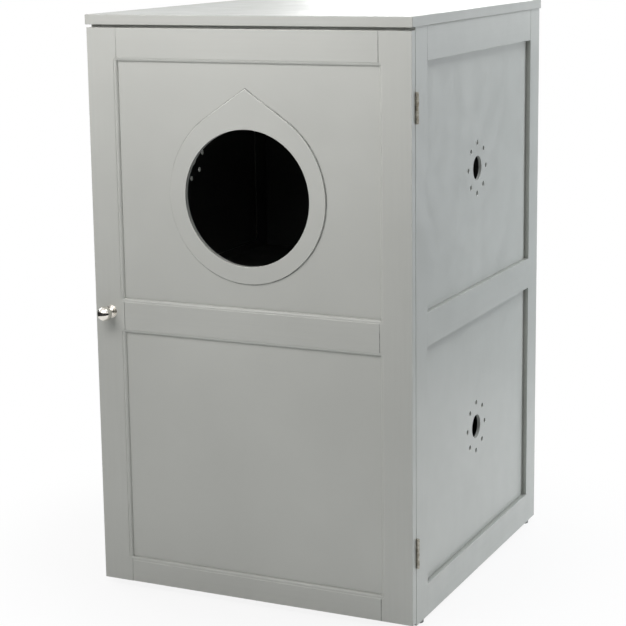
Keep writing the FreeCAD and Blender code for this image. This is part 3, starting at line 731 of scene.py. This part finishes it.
def pale_floor():
    finish, shader = new_finish("pale_floor")
    tree = finish.node_tree
    where = on_piece(finish)
    tint = blended(finish, mottle(finish, where, 3, detail=3), (0.68, 0.68, 0.68), (0.72, 0.72, 0.72))
    tree.links.new(tint, shader.inputs["Base Color"])
    shader.inputs["Roughness"].default_value = 0.7
    distance = tree.nodes.new("ShaderNodeVectorMath")
    distance.operation = "LENGTH"
    tree.links.new(where, distance.inputs[0])
    fade = tree.nodes.new("ShaderNodeMapRange")
    fade.interpolation_type = "SMOOTHSTEP"
    fade.inputs["From Min"].default_value = fade_start
    fade.inputs["From Max"].default_value = fade_end
    fade.inputs["To Min"].default_value = least_white
    tree.links.new(distance.outputs["Value"], fade.inputs["Value"])
    white = tree.nodes.new("ShaderNodeEmission")
    mix = tree.nodes.new("ShaderNodeMixShader")
    tree.links.new(product(finish, fade.outputs["Result"], background_rays(tree)), mix.inputs["Fac"])
    tree.links.new(shader.outputs["BSDF"], mix.inputs[1])
    tree.links.new(white.outputs["Emission"], mix.inputs[2])
    tree.links.new(mix.outputs["Shader"], tree.nodes["Material Output"].inputs["Surface"])
    return finish


floor_sheet = bmesh.new()
bmesh.ops.create_grid(floor_sheet, x_segments=1, y_segments=1, size=floor_reach)
floor_mesh = bpy.data.meshes.new("floor")
floor_sheet.to_mesh(floor_mesh)
floor_sheet.free()
floor_mesh.materials.append(pale_floor())
floor = bpy.data.objects.new("floor", floor_mesh)
bpy.context.scene.collection.objects.link(floor)

screen = bmesh.new()
bmesh.ops.create_cone(
    screen, cap_ends=False, segments=96, radius1=screen_radius, radius2=screen_radius, depth=screen_height
)
bmesh.ops.translate(screen, verts=screen.verts, vec=(0, 0, screen_middle))
screen_mesh = bpy.data.meshes.new("dark_screen")
screen.to_mesh(screen_mesh)
screen.free()
felt_finish, felt_shader = new_finish("black_felt")
felt = mottle(felt_finish, on_piece(felt_finish), 400, detail=2)
felt_colour = blended(felt_finish, felt, (0.02, 0.02, 0.02), (0.035, 0.035, 0.035))
felt_finish.node_tree.links.new(felt_colour, felt_shader.inputs["Base Color"])
felt_shader.inputs["Roughness"].default_value = 0.95
screen_mesh.materials.append(felt_finish)
dark_screen = bpy.data.objects.new("dark_screen", screen_mesh)
dark_screen.visible_camera = False
dark_screen.visible_diffuse = False
dark_screen.visible_shadow = False
bpy.context.scene.collection.objects.link(dark_screen)


def soft_lamp(name, place, towards, width, height, watts, colour):
    lamp = bpy.data.lights.new(name, "AREA")
    lamp.shape = "RECTANGLE"
    lamp.size = width
    lamp.size_y = height
    lamp.energy = watts
    lamp.color = colour
    holder = bpy.data.objects.new(name, lamp)
    holder.location = place
    holder.rotation_mode = "QUATERNION"
    holder.rotation_quaternion = (Vector(towards) - Vector(place)).to_track_quat("-Z", "Y")
    bpy.context.scene.collection.objects.link(holder)


soft_lamp("near_left_lamp", (-0.3, -1.05, 1.3), (-0.05, -0.27, 0.75), 0.7, 0.6, 7.6, (1.0, 0.97, 0.985))
soft_lamp("near_right_lamp", (0.25, -1.05, 1.3), (0.05, -0.27, 0.75), 0.7, 0.6, 2.0, (1.0, 0.98, 0.97))
soft_lamp("front_lamp", (-0.5, -2.2, 0.95), (0, -0.27, 0.45), 1.6, 1.2, 3, (1.0, 1.0, 0.97))
soft_lamp("close_side_lamp", (1.05, 0.75, 0.55), (0.26, 0.25, 0.45), 0.6, 0.6, 5.4, (0.87, 0.92, 1.0))
soft_lamp("high_lamp", (2.4, 0.8, 5.2), (0.26, 0.1, 0.4), 2.6, 2.6, 158, (0.93, 0.96, 1.0))
soft_lamp("left_lamp", (-2.3, 0.6, 1.1), (-0.26, 0, 0.45), 1.2, 1.0, 21, (1.0, 1.0, 1.0))
soft_lamp("back_lamp", (-0.4, 2.4, 1.3), (0, 0.3, 0.45), 1.4, 1.0, 18, (1.0, 1.0, 1.0))

world = bpy.data.worlds.new("white_surroundings")
bpy.context.scene.world = world
world.use_nodes = True
sky = world.node_tree.nodes["Background"]
sky.inputs["Color"].default_value = (0.97, 0.985, 1, 1)
sky.inputs["Strength"].default_value = 0.15
white_sky = world.node_tree.nodes.new("ShaderNodeBackground")
white_sky.inputs["Color"].default_value = (1, 1, 1, 1)
white_sky.inputs["Strength"].default_value = 1
sky_mix = world.node_tree.nodes.new("ShaderNodeMixShader")
join = world.node_tree.links.new
join(background_rays(world.node_tree), sky_mix.inputs["Fac"])
join(sky.outputs["Background"], sky_mix.inputs[1])
join(white_sky.outputs["Background"], sky_mix.inputs[2])
join(sky_mix.outputs["Shader"], world.node_tree.nodes["World Output"].inputs["Surface"])
bpy.context.scene.view_settings.view_transform = "Standard"
